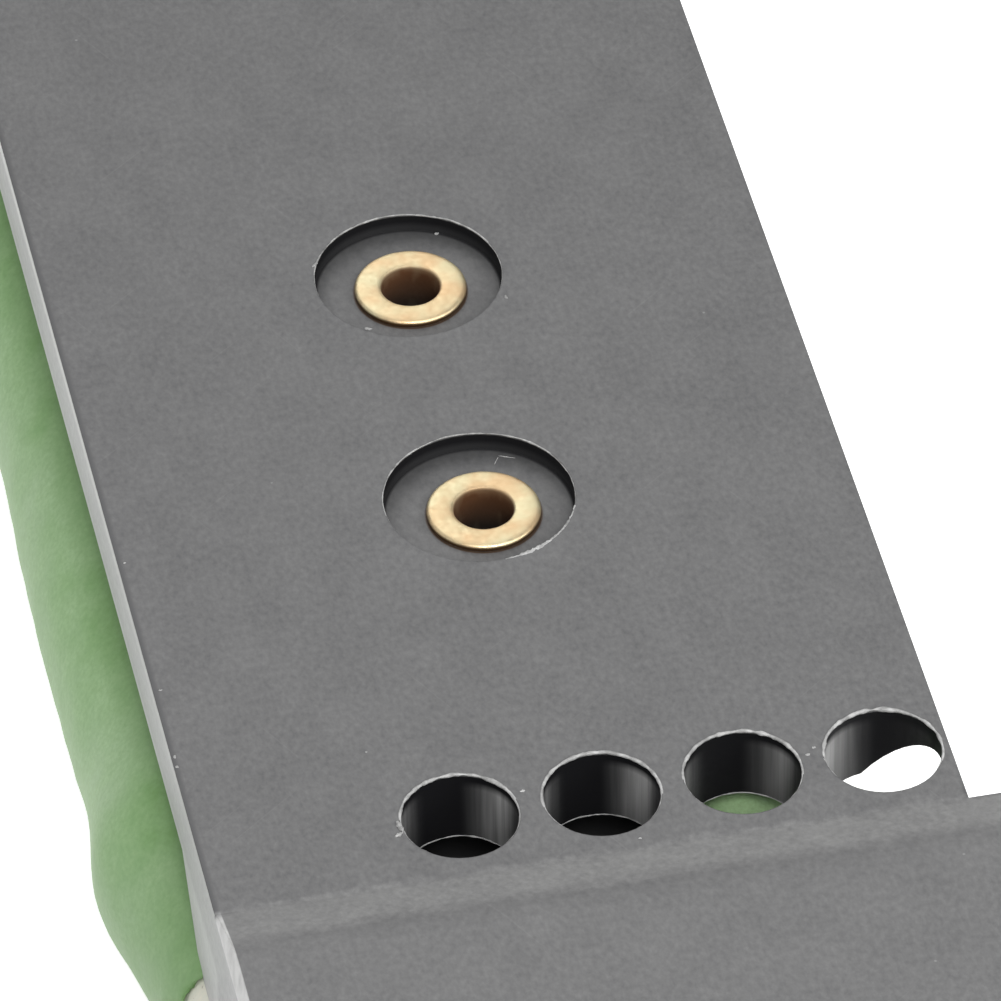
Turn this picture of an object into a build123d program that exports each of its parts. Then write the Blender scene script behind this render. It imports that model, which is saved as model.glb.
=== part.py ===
from build123d import *
from math import radians, tan
import os

os.makedirs("parts", exist_ok=True)

# Blower motor resistor, in millimetres.
# The origin is the middle of the flange's seat face, between its two screw holes.
# +Y runs along the tongue into the air duct, +Z is the tongue's smooth face, +X is to the right.

# Gaps between pieces
slip = 0.1            # round a core, a strip or a blade in the moulding
embed = 0.05          # round what is buried in the cement coating
reach = 1.0           # how far a cut runs past the face that it opens

# Flange and its screw holes
flange_width = 62.0
flange_height = 25.0
flange_thick = 3.5
flange_corner = 5.0
flange_chamfer = 0.5
screw_spacing = 50.0
screw_hole = 4.6
boss_width = 9.0      # raised ring round each screw hole, on the harness side
boss_rise = 0.6

# Head: the thick, hollow length between the flange and the tongue
head_length = 20.0
head_overhang = 4.0   # how far it stands out past the tongue's right edge
head_wall = 2.0
head_rise = 1.08      # its top face above the tongue's
ramp_run = 2.45
ramp_rise = 0.8
crest_run = 4.0       # from the ramp's foot to where the top is flat
draft_angle = 10.0    # of the head's left face
draft_drop = 0.3      # how far below the tongue's face that slope starts

# Tongue
tongue_x = -2.0
tongue_top = 7.0
tongue_width = 31.8
tongue_thick = 3.5
tip_margin = 3.6      # from the main core's far end to the tongue's tip
tip_corner = 3.0
bevel_run = 3.1       # underside of the right edge
bevel_lip = 0.78

# Air holes in a row beside the step
air_hole = 5.0
air_pitch = 6.0
air_count = 4
air_inset = 2.78      # last hole from the tongue's right edge
air_row = 3.53        # from the ramp's foot

# Seats and tubular rivets on the tongue's middle
seat_width = 8.28
seat_depth = 0.9
lower_rivet_at = 22.8
upper_rivet_at = 37.8
rivet_shank = 3.5
rivet_bore = 2.62
rivet_head = 4.86
rivet_lip = 0.38      # thickness of its rolled rims
rivet_foot = 5.0

# Main resistor, under the left edge
main_across = -12.3
main_below = 10.4
main_core_radius = 4.75
main_bare = 1.1       # bare core between its socket and its coating
main_past_fuse = 6.5  # coating past the thermal fuse
main_clip_gap = 1.9   # between the coating and the clip at the far end

# Second resistor, under the right half
second_across = 8.3
second_below = 8.6
second_core_radius = 3.0
second_bare = 4.9
second_clip_gap = 0.5

core_bore = 3.2
socket_depth = 10.0
socket_wall = 1.9
main_socket_ahead = 4.4   # the main socket stands this far in front of the step
gusset_thick = 0.7
gusset_run = 3.3
gusset_fall = 3.65
clip_width = 3.0
clip_wall = 1.7
clip_hold = 1.4       # how far a tip clip reaches past the core's middle
clip_end = 3.0        # of the core past its clip

# Resistance ribbon and its connecting bands
ribbon_thick = 0.3
ribbon_width = 1.6
main_pitch = 4.4
second_pitch = 3.6

band_thick = 0.3
band_width = 5.0
band_gap = 2.5        # between the second resistor's last two bands
coat_past_band = 1.0  # coating past the second resistor's last band

# The uneven outline of each coating: shares of its length from the head's end, and its cover over the core
main_skin = [(0, 0.5), (0.016, 0.6), (0.054, 0.98), (0.096, 1.5), (0.135, 1.93), (0.184, 1.4), (0.268, 1.28),
             (0.377, 1.37), (0.482, 1.3), (0.605, 1.0), (0.71, 1.2), (0.815, 1.45), (0.91, 1.25), (0.97, 1.0),
             (1, 0.55)]
second_skin = [(0, 0.55), (0.022, 1.05), (0.11, 1.25), (0.27, 1.1), (0.43, 1.2), (0.6, 1.05), (0.8, 1.2),
               (0.93, 1.1), (0.978, 0.9), (1, 0.5)]
tab_thick = 0.6
tab_width = 5.0

# Strips, blades and the rail that carries the strips
strip_thick = 0.8
strip_width = 2.8
lower_strip_x = -2.3
upper_strip_x = 1.2
rail_from = -5.6
rail_to = 3.8
rail_below = 6.0      # its upper face below the tongue's upper face
rail_thick = 3.3
rail_clear = 0.7      # between its end and the strip that turns up past it
rail_post = 3.8
blade_width = 4.8
blade_thick = 0.8
blade_pitch = 7.6
blade_count = 4
blade_inside = 6.0
blade_outside = 16.0
blade_point = 1.2

# Harness socket behind the flange
shroud_width = 36.0
shroud_height = 15.0
shroud_wall = 1.8
shroud_depth = 22.0
shroud_corner = 2.5
latch_width = 6.0
latch_length = 5.0
latch_rise = 1.8
latch_back = 2.0      # from the socket's mouth to the latch's thin end
key_width = 1.6
key_rise = 1.2
mouth_chamfer = 0.6
web_thick = 1.4       # braces between the socket and the flange
web_run = 7.0
web_rise = 3.0
web_spacing = 24.0    # of the two above the socket

# Thermal fuse across the tongue's far end
fuse_gap = 1.0        # past the second core's far end
fuse_lead_out = 1.1   # of the short lead, between the main resistor's tab and the seal
fuse_below = 6.6
fuse_width = 4.0
fuse_length = 11.0
fuse_seal = 1.6
fuse_lead = 1.0
cradle_width = 4.0

# Bands and what they are joined to
head_band_at = 11.0       # both resistors' first bands, from the ramp's foot
eye_edge = 3.2            # from a rivet's middle to a strip's bend
pad_edge = 2.7            # from a rivet's middle to the side of a pad or the end of a tab
main_tap_out = 1.8        # upright tabs, from their core's surface
main_tip_out = 2.55
second_tap_out = 1.9
second_tip_out = 3.0
link_thick = 0.6
link_depth = 2.0
bend = 0.9                # middle-line radius of a bent strip
tab_bend = 0.5

# Worked-out places
left = tongue_x - tongue_width / 2
right = tongue_x + tongue_width / 2
under = tongue_top - tongue_thick
step = head_length
head_right = right + head_overhang
main_x = tongue_x + main_across
main_z = tongue_top - main_below
second_x = tongue_x + second_across
second_z = tongue_top - second_below
main_socket_radius = main_core_radius + slip
second_socket_radius = second_core_radius + slip
head_bottom = main_z - main_socket_radius - socket_wall
main_face = step + main_socket_ahead
main_floor = main_face - socket_depth
second_floor = step - socket_depth
rail_top = tongue_top - rail_below
rail_bottom = rail_top - rail_thick
strip_z = rail_bottom + strip_thick / 2
blade_z = main_z
shroud_z = blade_z
lower_rivet_y = step + lower_rivet_at
upper_rivet_y = step + upper_rivet_at
head_band_y = step + head_band_at
second_tip_band_y = upper_rivet_y + band_width + band_gap
second_coat_from = step + second_bare
second_coat_to = second_tip_band_y + band_width / 2 + coat_past_band
second_tip_y = second_coat_to + second_clip_gap + clip_width + clip_end
fuse_y = second_tip_y + fuse_gap + fuse_width / 2
fuse_z = tongue_top - fuse_below
main_coat_from = main_face + main_bare
main_coat_to = fuse_y + main_past_fuse
main_tip_y = main_coat_to + main_clip_gap + clip_width + clip_end
tip = main_tip_y + tip_margin
main_tap_x = main_x + main_core_radius + main_tap_out
main_tip_x = main_x + main_core_radius + main_tip_out
second_tap_x = second_x - second_core_radius - second_tap_out
second_tip_x = second_x + second_core_radius + second_tip_out
fuse_x = main_tip_x + tab_thick / 2 + fuse_lead_out + fuse_seal + fuse_length / 2
strip_turn = eye_edge + slip
rail_end = lower_rivet_y - strip_turn - strip_thick / 2 - rail_clear
main_link_x = main_x + main_socket_radius + socket_wall + slip + link_thick / 2
second_link_z = second_z - second_socket_radius - socket_wall - strip_thick / 2 - slip
main_wound_from = main_coat_from + ribbon_width
main_wound_to = main_coat_to - ribbon_width
second_wound_from = second_coat_from + ribbon_width
second_wound_to = second_coat_to - ribbon_width
main_bore = main_core_radius + 2 * embed + ribbon_thick
second_bore = second_core_radius + 2 * embed + ribbon_thick


# A sketch plane across the part: X to the right, Z up, extruding back towards the flange.
def across(y):
    return Plane.XZ.offset(-y)


# A sketch plane seen from the right: Y to the right, Z up, extruding towards +X.
def along(x):
    return Plane.YZ.offset(x)


# A block between two corners, for the moulding's walls and for its straight cuts.
def block(low, high, mode=Mode.ADD):
    size = [b - a for a, b in zip(low, high)]
    middle = [(a + b) / 2 for a, b in zip(low, high)]
    with Locations(tuple(middle)):
        Box(*size, mode=mode)


# A round cut or post along Y, between two distances from the flange.
def rod_along(x, z, radius, y_from, y_to, mode=Mode.ADD):
    with BuildSketch(across(y_to)) as ring:
        with Locations((x, z)):
            Circle(radius)
    extrude(ring.sketch, amount=y_to - y_from, mode=mode)


blade_places = [(i - (blade_count - 1) / 2) * blade_pitch for i in range(blade_count)]
air_places = [right - air_inset - i * air_pitch for i in range(air_count)]

# Carrier: tongue, head, flange, harness socket, rail and clips in one moulding
with BuildPart() as carrier:
    # Tongue, with two rounded corners at its tip and a bevel under its right edge
    with BuildSketch(Plane.XY.offset(under)):
        with BuildLine():
            Polyline((left, 0), (left, tip), (right, tip), (right, 0), close=True)
        make_face()
        fillet([v for v in vertices() if v.Y > tip - reach], tip_corner)
    extrude(amount=tongue_thick)
    with BuildSketch(across(tip + reach)):
        with BuildLine():
            Polyline(
                (left - reach, tongue_top), (right, tongue_top), (right, tongue_top - bevel_lip),
                (right - bevel_run, under), (left - reach, under), close=True)
        make_face()
    extrude(amount=tip + 2 * reach, mode=Mode.INTERSECT)

    # Head's top, rising by a ramp and a rounded crest
    with BuildSketch(along(left)):
        with BuildLine():
            foot = (step, tongue_top)
            brow = (step - ramp_run, tongue_top + ramp_rise)
            crest = (step - crest_run, tongue_top + head_rise)
            Polyline(crest, (0, tongue_top + head_rise), (0, under), (step, under), foot, brow)
            TangentArc(brow, crest, tangent=(-ramp_run, ramp_rise))
        make_face()
    extrude(amount=head_right - left)
    slope = tan(radians(draft_angle))
    with BuildSketch(across(step)):
        with BuildLine():
            low_edge = tongue_top - draft_drop
            height = head_rise + draft_drop + reach
            Polyline((left - reach, low_edge), (left, low_edge), (left + slope * height, low_edge + height),
                     (left - reach, low_edge + height), close=True)
        make_face()
    extrude(amount=step, mode=Mode.SUBTRACT)

    # Head's walls, open below
    block((left, 0, head_bottom), (left + head_wall, step, under))
    block((head_right - head_wall, 0, head_bottom), (head_right, step, under))
    block((left, step - head_wall, head_bottom), (head_right, step, under))

    # Sockets for the two cores
    main_right = main_x + main_socket_radius + socket_wall
    block((left, main_floor - head_wall, head_bottom), (main_right, main_face, under))
    second_half = second_socket_radius + socket_wall
    block((second_x - second_half, second_floor - head_wall, second_z - second_half),
          (second_x + second_half, step, under))
    with BuildSketch(along(left)):
        with BuildLine():
            gusset_low = under - gusset_fall
            Polyline((main_face - reach, under), (main_face + gusset_run, under),
                     (main_face, gusset_low), (main_face - reach, gusset_low), close=True)
        make_face()
    extrude(amount=gusset_thick)
    rod_along(main_x, main_z, main_socket_radius, main_floor, main_face + reach, Mode.SUBTRACT)
    rod_along(second_x, second_z, second_socket_radius, second_floor, step + reach, Mode.SUBTRACT)

    # Flange, with its back edge chamfered, and a boss round each screw hole
    plate = flange_thick - flange_chamfer
    for y, run, lean in ((0, plate, 0), (-plate, flange_chamfer, 45)):
        with BuildSketch(across(y)):
            RectangleRounded(flange_width, flange_height, flange_corner)
        extrude(amount=run, taper=lean)
    with BuildSketch(across(-flange_thick)):
        with GridLocations(screw_spacing, 0, 2, 1):
            Circle(boss_width / 2)
    extrude(amount=boss_rise)
    with BuildSketch(across(reach)):
        with GridLocations(screw_spacing, 0, 2, 1):
            Circle(screw_hole / 2)
    extrude(amount=flange_thick + boss_rise + 2 * reach, mode=Mode.SUBTRACT)

    # Harness socket, with a latch above, two keys inside and a chamfered mouth
    with BuildSketch(across(-flange_thick)):
        with Locations((0, shroud_z)):
            RectangleRounded(shroud_width, shroud_height, shroud_corner)
            RectangleRounded(shroud_width - 2 * shroud_wall, shroud_height - 2 * shroud_wall,
                             shroud_corner - shroud_wall, mode=Mode.SUBTRACT)
    extrude(amount=shroud_depth)
    shroud_top = shroud_z + shroud_height / 2
    mouth = -flange_thick - shroud_depth
    with BuildSketch(along(-latch_width / 2)):
        with BuildLine():
            latch_low = mouth + latch_back
            latch_high = latch_low + latch_length
            Polyline((latch_low, shroud_top), (latch_high, shroud_top + latch_rise), (latch_high, shroud_top),
                     close=True)
        make_face()
    extrude(amount=latch_width)
    key_top = shroud_top - shroud_wall
    for key_x in (-blade_pitch, blade_pitch):
        block((key_x - key_width / 2, mouth, key_top - key_rise), (key_x + key_width / 2, -flange_thick, key_top))
    inset = 2 * (shroud_wall - mouth_chamfer)
    with BuildSketch(across(mouth)):
        with Locations((0, shroud_z)):
            RectangleRounded(shroud_width - inset, shroud_height - inset, shroud_corner - inset / 2)
    extrude(amount=-mouth_chamfer, taper=45, mode=Mode.SUBTRACT)

    # Triangular webs that brace the socket: two above it and one at each side
    for x in (-web_spacing / 2, web_spacing / 2):
        with BuildSketch(along(x - web_thick / 2)):
            with BuildLine():
                Polyline((-flange_thick, shroud_top), (-flange_thick, shroud_top + web_rise),
                         (-flange_thick - web_run, shroud_top), close=True)
            make_face()
        extrude(amount=web_thick)
    for side in (-1, 1):
        with BuildSketch(Plane.XY.offset(shroud_z - web_thick / 2)):
            with BuildLine():
                wall = side * shroud_width / 2
                Polyline((wall, -flange_thick), (wall + side * web_rise, -flange_thick),
                         (wall, -flange_thick - web_run), close=True)
            make_face()
        extrude(amount=web_thick)

    # Rail under the first two air holes, with grooves for the two strips
    rail_left = tongue_x + rail_from
    rail_right = tongue_x + rail_to
    block((rail_left, step - head_wall, rail_bottom), (rail_right, rail_end, rail_top))
    block((rail_left, rail_end - rail_post, rail_top), (rail_right, rail_end, under))
    for strip_x in (lower_strip_x, upper_strip_x):
        half = strip_width / 2 + slip
        block((tongue_x + strip_x - half, step - head_wall - reach, rail_bottom - strip_thick),
              (tongue_x + strip_x + half, rail_end + reach, strip_z + strip_thick / 2), Mode.SUBTRACT)

    # Clips that hold the cores' far ends from above, each open below
    for x, z, radius, y in ((main_x, main_z, main_socket_radius, main_tip_y),
                            (second_x, second_z, second_socket_radius, second_tip_y)):
        block((x - radius - clip_wall, y - 2 * clip_width, z - clip_hold), (x + radius + clip_wall, y - clip_width, under))
        rod_along(x, z, radius, y - 2 * clip_width - reach, y - clip_width + reach, Mode.SUBTRACT)

    # Cradle over the thermal fuse
    block((fuse_x - cradle_width / 2, fuse_y - fuse_width / 2 - head_wall / 2, fuse_z),
          (fuse_x + cradle_width / 2, fuse_y + fuse_width / 2 + head_wall / 2, under))
    with BuildSketch(along(fuse_x - cradle_width / 2 - reach)):
        with Locations((fuse_y, fuse_z)):
            Circle(fuse_width / 2 + slip)
    extrude(amount=cradle_width + 2 * reach, mode=Mode.SUBTRACT)

    # Slots for the blades in the flange
    for x in blade_places:
        block((x - blade_width / 2 - embed, -flange_thick - reach, blade_z - blade_thick / 2 - embed),
              (x + blade_width / 2 + embed, reach, blade_z + blade_thick / 2 + embed), Mode.SUBTRACT)

    # Air holes, rivet seats and rivet holes
    with BuildSketch(Plane.XY.offset(tongue_top)):
        with Locations([(x, step + air_row) for x in air_places]):
            Circle(air_hole / 2)
    extrude(amount=-tongue_thick - reach / 2, mode=Mode.SUBTRACT)
    with Locations([(tongue_x, lower_rivet_y, tongue_top), (tongue_x, upper_rivet_y, tongue_top)]):
        CounterBoreHole(rivet_shank / 2 + slip, seat_width / 2, seat_depth, depth=tongue_thick)
    # Slots in the head's front wall for the two links
    block((main_link_x - link_thick / 2 - slip, step - head_wall - reach, head_bottom - reach),
          (main_link_x + link_thick / 2 + slip, step + reach, main_z + link_depth / 2 + slip), Mode.SUBTRACT)
    block((second_x - strip_width / 2 - slip, step - head_wall - reach, head_bottom - reach),
          (second_x + strip_width / 2 + slip, step + reach, second_link_z + strip_thick / 2 + slip), Mode.SUBTRACT)


# A ceramic tube along Y.
def make_core(x, z, radius, y_from, y_to):
    with BuildPart() as core:
        with BuildSketch(across(y_to)):
            with Locations((x, z)):
                Circle(radius)
                Circle(core_bore / 2, mode=Mode.SUBTRACT)
        extrude(amount=y_to - y_from)
        chamfer(core.edges().filter_by(GeomType.CIRCLE), slip)
    return core.part


# Resistance ribbon, wound round a core as a helix.
def make_winding(x, z, core_radius, pitch, y_from, y_to):
    radius = core_radius + embed + ribbon_thick / 2
    with BuildPart() as winding:
        with BuildLine() as turns:
            Helix(pitch=pitch, height=y_to - y_from, radius=radius, center=(x, y_from, z), direction=(0, 1, 0))
        start = turns.line @ 0
        outward = (start - Vector(x, y_from, z)).normalized()
        with BuildSketch(Plane(origin=start, x_dir=outward, z_dir=turns.line % 0)):
            Rectangle(ribbon_thick, ribbon_width)
        sweep(path=turns.line, is_frenet=True)
    return winding.part


# Cement coating: a turned, uneven skin over a core, bored for what it holds.
def make_coat(x, z, core_radius, bore, y_from, y_to, skin_list, bands, tabs):
    outline = [(y_from + share * (y_to - y_from), core_radius + cover) for share, cover in skin_list]
    with BuildPart() as coat:
        with BuildSketch(Plane(origin=(x, 0, z), x_dir=(0, 1, 0), z_dir=(0, 0, 1))):
            with BuildLine():
                skin = Spline(*outline)
                Polyline(skin @ 1, (y_to, bore), (y_from, bore), skin @ 0)
            make_face()
        revolve(axis=Axis((x, 0, z), (0, 1, 0)))
        for y in bands:
            half = band_width / 2 + embed
            rod_along(x, z, bore + band_thick + 2 * embed, y - half, y + half, Mode.SUBTRACT)
        for low, high in tabs:
            grown_low = [value - embed for value in low]
            grown_high = [value + embed for value in high]
            block(grown_low, grown_high, Mode.SUBTRACT)
    return coat.part


# A clamping band round a winding, with a flat tab bent along points of X and Z.
def make_lug(x, z, bore, y, path, eye=None):
    with BuildPart() as lug:
        inner = bore + embed
        with BuildSketch(across(y + band_width / 2)):
            with Locations((x, z)):
                Circle(inner + band_thick)
                Circle(inner, mode=Mode.SUBTRACT)
        extrude(amount=band_width)
        with BuildSketch(across(y + tab_width / 2)):
            with BuildLine():
                if len(path) > 2:
                    FilletPolyline(*path, radius=tab_bend)
                else:
                    Line(*path)
            trace(line_width=tab_thick)
        extrude(amount=tab_width)
        if eye:
            with Locations((eye[0], eye[1], tongue_top)):
                Hole(rivet_shank / 2 + embed)
    return lug.part


# A flat strip bent along points of Y and Z, with a pad at its far end or a foot at its near end.
def make_strip(x, path, pad=None, foot=None, eye=None):
    with BuildPart() as strip:
        with BuildSketch(along(x - strip_width / 2)):
            with BuildLine():
                FilletPolyline(*path, radius=bend)
            trace(line_width=strip_thick)
        extrude(amount=strip_width)
        if pad:
            block(*pad)
        if foot:
            block(*foot)
        if eye:
            with Locations((eye[0], eye[1], tongue_top)):
                Hole(rivet_shank / 2 + embed)
    return strip.part


# A tubular rivet with both rims rolled outwards.
def make_rivet(y):
    seat = tongue_top - seat_depth
    foot = under - tab_thick - strip_thick
    bore = rivet_bore / 2
    shank = rivet_shank / 2
    head = rivet_head / 2
    ball = rivet_foot / 2
    edge = rivet_lip / 3
    with BuildPart() as rivet:
        with BuildSketch(Plane(origin=(tongue_x, y, 0), x_dir=(1, 0, 0), z_dir=(0, -1, 0))):
            with BuildLine():
                ThreePointArc((bore, seat + edge), ((bore + head) / 2, seat + rivet_lip), (head, seat + edge))
                Polyline((head, seat + edge), (head - edge / 2, seat), (shank, seat), (shank, foot),
                         (ball - edge / 2, foot), (ball, foot - edge))
                ThreePointArc((ball, foot - edge), ((bore + ball) / 2, foot - rivet_lip), (bore, foot - edge))
                Line((bore, foot - edge), (bore, seat + edge))
            make_face()
        revolve(axis=Axis((tongue_x, y, 0), (0, 0, 1)))
    return rivet.part


pieces = {"carrier": carrier.part}
tap_z = under - tab_thick / 2                 # tabs lie against the tongue's underside
pad_low = under - tab_thick - strip_thick     # the strips' pads lie under them
pad_high = under - tab_thick
pad_z = (pad_low + pad_high) / 2

# Main resistor: core, winding, three bands and its coating
main_bands = {"main_head_lug": head_band_y, "main_tap_lug": lower_rivet_y, "main_tip_lug": fuse_y}
main_start = main_x + main_bore + embed + band_thick / 2
main_ends = {
    "main_head_lug": [(main_start, main_z), (main_link_x - link_thick / 2, main_z)],
    "main_tap_lug": [(main_start, main_z), (main_tap_x, main_z), (main_tap_x, tap_z), (tongue_x + pad_edge, tap_z)],
    "main_tip_lug": [(main_start, main_z), (main_tip_x, main_z), (main_tip_x, fuse_z + fuse_lead)],
}
main_tabs = []
for name, y in main_bands.items():
    eye = (tongue_x, y) if name == "main_tap_lug" else None
    pieces[name] = make_lug(main_x, main_z, main_bore, y, main_ends[name], eye)
    main_tabs.append(((main_x, y - tab_width / 2, main_z - tab_thick / 2),
                      (main_x + 2 * main_core_radius, y + tab_width / 2, main_z + tab_thick / 2)))
pieces["main_core"] = make_core(main_x, main_z, main_core_radius, main_floor, main_tip_y)
pieces["main_winding"] = make_winding(main_x, main_z, main_core_radius, main_pitch, main_wound_from, main_wound_to)
pieces["main_coating"] = make_coat(main_x, main_z, main_core_radius, main_bore, main_coat_from, main_coat_to,
                                   main_skin, main_bands.values(), main_tabs)

# Second resistor
second_bands = {"second_head_lug": head_band_y, "second_tap_lug": upper_rivet_y, "second_tip_lug": second_tip_band_y}
second_start = second_bore + embed + band_thick / 2
second_ends = {
    "second_head_lug": [(second_x, second_z - second_start), (second_x, second_link_z + strip_thick / 2)],
    "second_tap_lug": [(second_x - second_start, second_z), (second_tap_x, second_z), (second_tap_x, tap_z),
                       (tongue_x - pad_edge, tap_z)],
    "second_tip_lug": [(second_x + second_start, second_z), (second_tip_x, second_z),
                       (second_tip_x, fuse_z + fuse_lead)],
}
span = 2 * second_core_radius
half_tab = tab_thick / 2
second_slots = {
    "second_head_lug": ((second_x - half_tab, second_z - span), (second_x + half_tab, second_z)),
    "second_tap_lug": ((second_x - span, second_z - half_tab), (second_x, second_z + half_tab)),
    "second_tip_lug": ((second_x, second_z - half_tab), (second_x + span, second_z + half_tab)),
}
second_tabs = []
for name, y in second_bands.items():
    eye = (tongue_x, y) if name == "second_tap_lug" else None
    pieces[name] = make_lug(second_x, second_z, second_bore, y, second_ends[name], eye)
    low, high = second_slots[name]
    second_tabs.append(((low[0], y - tab_width / 2, low[1]), (high[0], y + tab_width / 2, high[1])))
pieces["second_core"] = make_core(second_x, second_z, second_core_radius, second_floor, second_tip_y)
pieces["second_winding"] = make_winding(second_x, second_z, second_core_radius, second_pitch,
                                        second_wound_from, second_wound_to)
pieces["second_coating"] = make_coat(second_x, second_z, second_core_radius, second_bore, second_coat_from,
                                     second_coat_to, second_skin, second_bands.values(), second_tabs)

# Rivets
pieces["lower_rivet"] = make_rivet(lower_rivet_y)
pieces["upper_rivet"] = make_rivet(upper_rivet_y)

# Blades, each a stamped strip with a pointed tip
blade_names = ["blade_one", "blade_two", "blade_three", "blade_four"]
for name, x in zip(blade_names, blade_places):
    half = blade_width / 2
    blade_tip = -flange_thick - blade_outside
    with BuildPart() as blade:
        with BuildSketch(Plane.XY.offset(blade_z - blade_thick / 2)):
            with BuildLine():
                Polyline((x - half, blade_inside), (x + half, blade_inside), (x + half, blade_tip + blade_point),
                         (x + half - blade_point, blade_tip), (x - half + blade_point, blade_tip),
                         (x - half, blade_tip + blade_point), close=True)
            make_face()
        extrude(amount=blade_thick)
        chamfer(blade.edges().filter_by(Axis.X).group_by(Axis.Y)[0], blade_thick / 4)
    pieces[name] = blade.part

# Strips from the two rivets, along the rail's grooves, to the middle blades
joint_y = blade_inside + strip_thick / 2
joint_low = blade_z - blade_thick
for name, strip_at, y, blade_x in (("lower_strip", lower_strip_x, lower_rivet_y, blade_places[1]),
                                   ("upper_strip", upper_strip_x, upper_rivet_y, blade_places[2])):
    x = tongue_x + strip_at
    drop = y - strip_turn
    path = [(y + eye_edge, pad_z), (drop, pad_z), (drop, strip_z), (joint_y, strip_z), (joint_y, joint_low)]
    pad = ((min(x - strip_width / 2, tongue_x - pad_edge), y - eye_edge + strip_thick, pad_low),
           (max(x + strip_width / 2, tongue_x + pad_edge), y + eye_edge, pad_high))
    foot = ((min(x - strip_width / 2, blade_x), blade_inside, joint_low),
            (max(x + strip_width / 2, blade_x), blade_inside + strip_thick, strip_z - bend))
    pieces[name] = make_strip(x, path, pad, foot, (tongue_x, y))

# Links from the two first bands to the outer blades
link_far = head_band_y + band_width / 2
with BuildPart() as main_link:
    link_low = main_z - link_depth / 2
    link_high = main_z + link_depth / 2
    block((main_link_x - link_thick / 2, blade_inside, link_low), (main_link_x + link_thick / 2, link_far, link_high))
    block((blade_places[0], blade_inside, link_low), (main_link_x, blade_inside + link_thick, link_high))
pieces["main_link"] = main_link.part
second_foot = ((second_x - strip_width / 2, blade_inside, second_link_z),
               (blade_places[3], blade_inside + strip_thick, blade_z + blade_thick / 2))
second_path = [(link_far, second_link_z), (joint_y, second_link_z), (joint_y, blade_z + blade_thick / 2)]
pieces["second_link"] = make_strip(second_x, second_path, foot=second_foot)

# Thermal fuse: can, seal and two leads
with BuildPart() as fuse_can:
    with BuildSketch(along(fuse_x - fuse_length / 2)):
        with Locations((fuse_y, fuse_z)):
            Circle(fuse_width / 2)
    extrude(amount=fuse_length)
    fillet(fuse_can.edges().sort_by(Axis.X)[-1], fuse_width / 8)
pieces["fuse_can"] = fuse_can.part
with BuildPart() as fuse_seal_bead:
    with BuildSketch(along(fuse_x - fuse_length / 2)):
        with Locations((fuse_y, fuse_z)):
            Circle(fuse_width / 2 - slip)
    extrude(amount=-fuse_seal, taper=35)
    with BuildSketch(along(fuse_x - fuse_length / 2)):
        with Locations((fuse_y, fuse_z)):
            Circle(fuse_lead / 2)
    extrude(amount=-fuse_seal, mode=Mode.SUBTRACT)
pieces["fuse_seal"] = fuse_seal_bead.part
with BuildPart() as inner_lead:
    with BuildSketch(along(fuse_x - fuse_length / 2)):
        with Locations((fuse_y, fuse_z)):
            Circle(fuse_lead / 2)
    extrude(amount=-fuse_seal - fuse_lead_out)
pieces["inner_lead"] = inner_lead.part
with BuildPart() as outer_lead:
    with BuildLine() as run:
        FilletPolyline((fuse_x + fuse_length / 2, fuse_y, fuse_z), (second_tip_x, fuse_y, fuse_z),
                       (second_tip_x, second_tip_band_y + tab_width / 2, fuse_z), radius=2 * fuse_lead)
    with BuildSketch(along(fuse_x + fuse_length / 2)):
        with Locations((fuse_y, fuse_z)):
            Circle(fuse_lead / 2)
    sweep(path=run.line)
pieces["outer_lead"] = outer_lead.part

for name, piece in pieces.items():
    piece.label = name
    export_step(piece, f"parts/{name}.step")
    print(name, round(piece.volume, 1), len(piece.solids()))
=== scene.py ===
import math
import bmesh
import bpy
from mathutils import Matrix, Vector


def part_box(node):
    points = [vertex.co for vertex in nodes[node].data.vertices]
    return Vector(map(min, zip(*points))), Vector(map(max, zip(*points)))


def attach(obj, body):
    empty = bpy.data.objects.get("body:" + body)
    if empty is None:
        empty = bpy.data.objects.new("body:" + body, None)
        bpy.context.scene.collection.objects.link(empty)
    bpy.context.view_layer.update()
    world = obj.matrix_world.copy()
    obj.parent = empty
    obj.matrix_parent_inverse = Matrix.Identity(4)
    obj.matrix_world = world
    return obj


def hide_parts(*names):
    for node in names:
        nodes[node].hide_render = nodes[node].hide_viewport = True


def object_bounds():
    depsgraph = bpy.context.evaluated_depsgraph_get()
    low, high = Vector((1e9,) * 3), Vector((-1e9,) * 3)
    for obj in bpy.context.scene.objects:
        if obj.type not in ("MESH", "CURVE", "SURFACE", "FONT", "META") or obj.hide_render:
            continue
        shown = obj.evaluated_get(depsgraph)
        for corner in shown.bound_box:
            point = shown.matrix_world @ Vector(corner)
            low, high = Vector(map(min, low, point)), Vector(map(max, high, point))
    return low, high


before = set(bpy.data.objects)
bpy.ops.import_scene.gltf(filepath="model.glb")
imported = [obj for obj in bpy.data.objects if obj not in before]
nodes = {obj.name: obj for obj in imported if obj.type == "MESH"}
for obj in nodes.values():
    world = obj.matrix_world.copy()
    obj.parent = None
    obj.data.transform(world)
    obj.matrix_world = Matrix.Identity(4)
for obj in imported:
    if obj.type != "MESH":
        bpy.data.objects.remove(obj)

# Looks of a blower motor resistor. Lengths in the dictionaries are millimetres, and the scene is in metres.
mm = 0.001
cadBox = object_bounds()
print("frame loaded:", len(nodes), "nodes")


def linear(hexColour):
    channels = [int(hexColour[i:i + 2], 16) / 255 for i in (1, 3, 5)]
    return [c / 12.92 if c <= 0.04045 else ((c + 0.055) / 1.055) ** 2.4 for c in channels] + [1.0]


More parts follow.
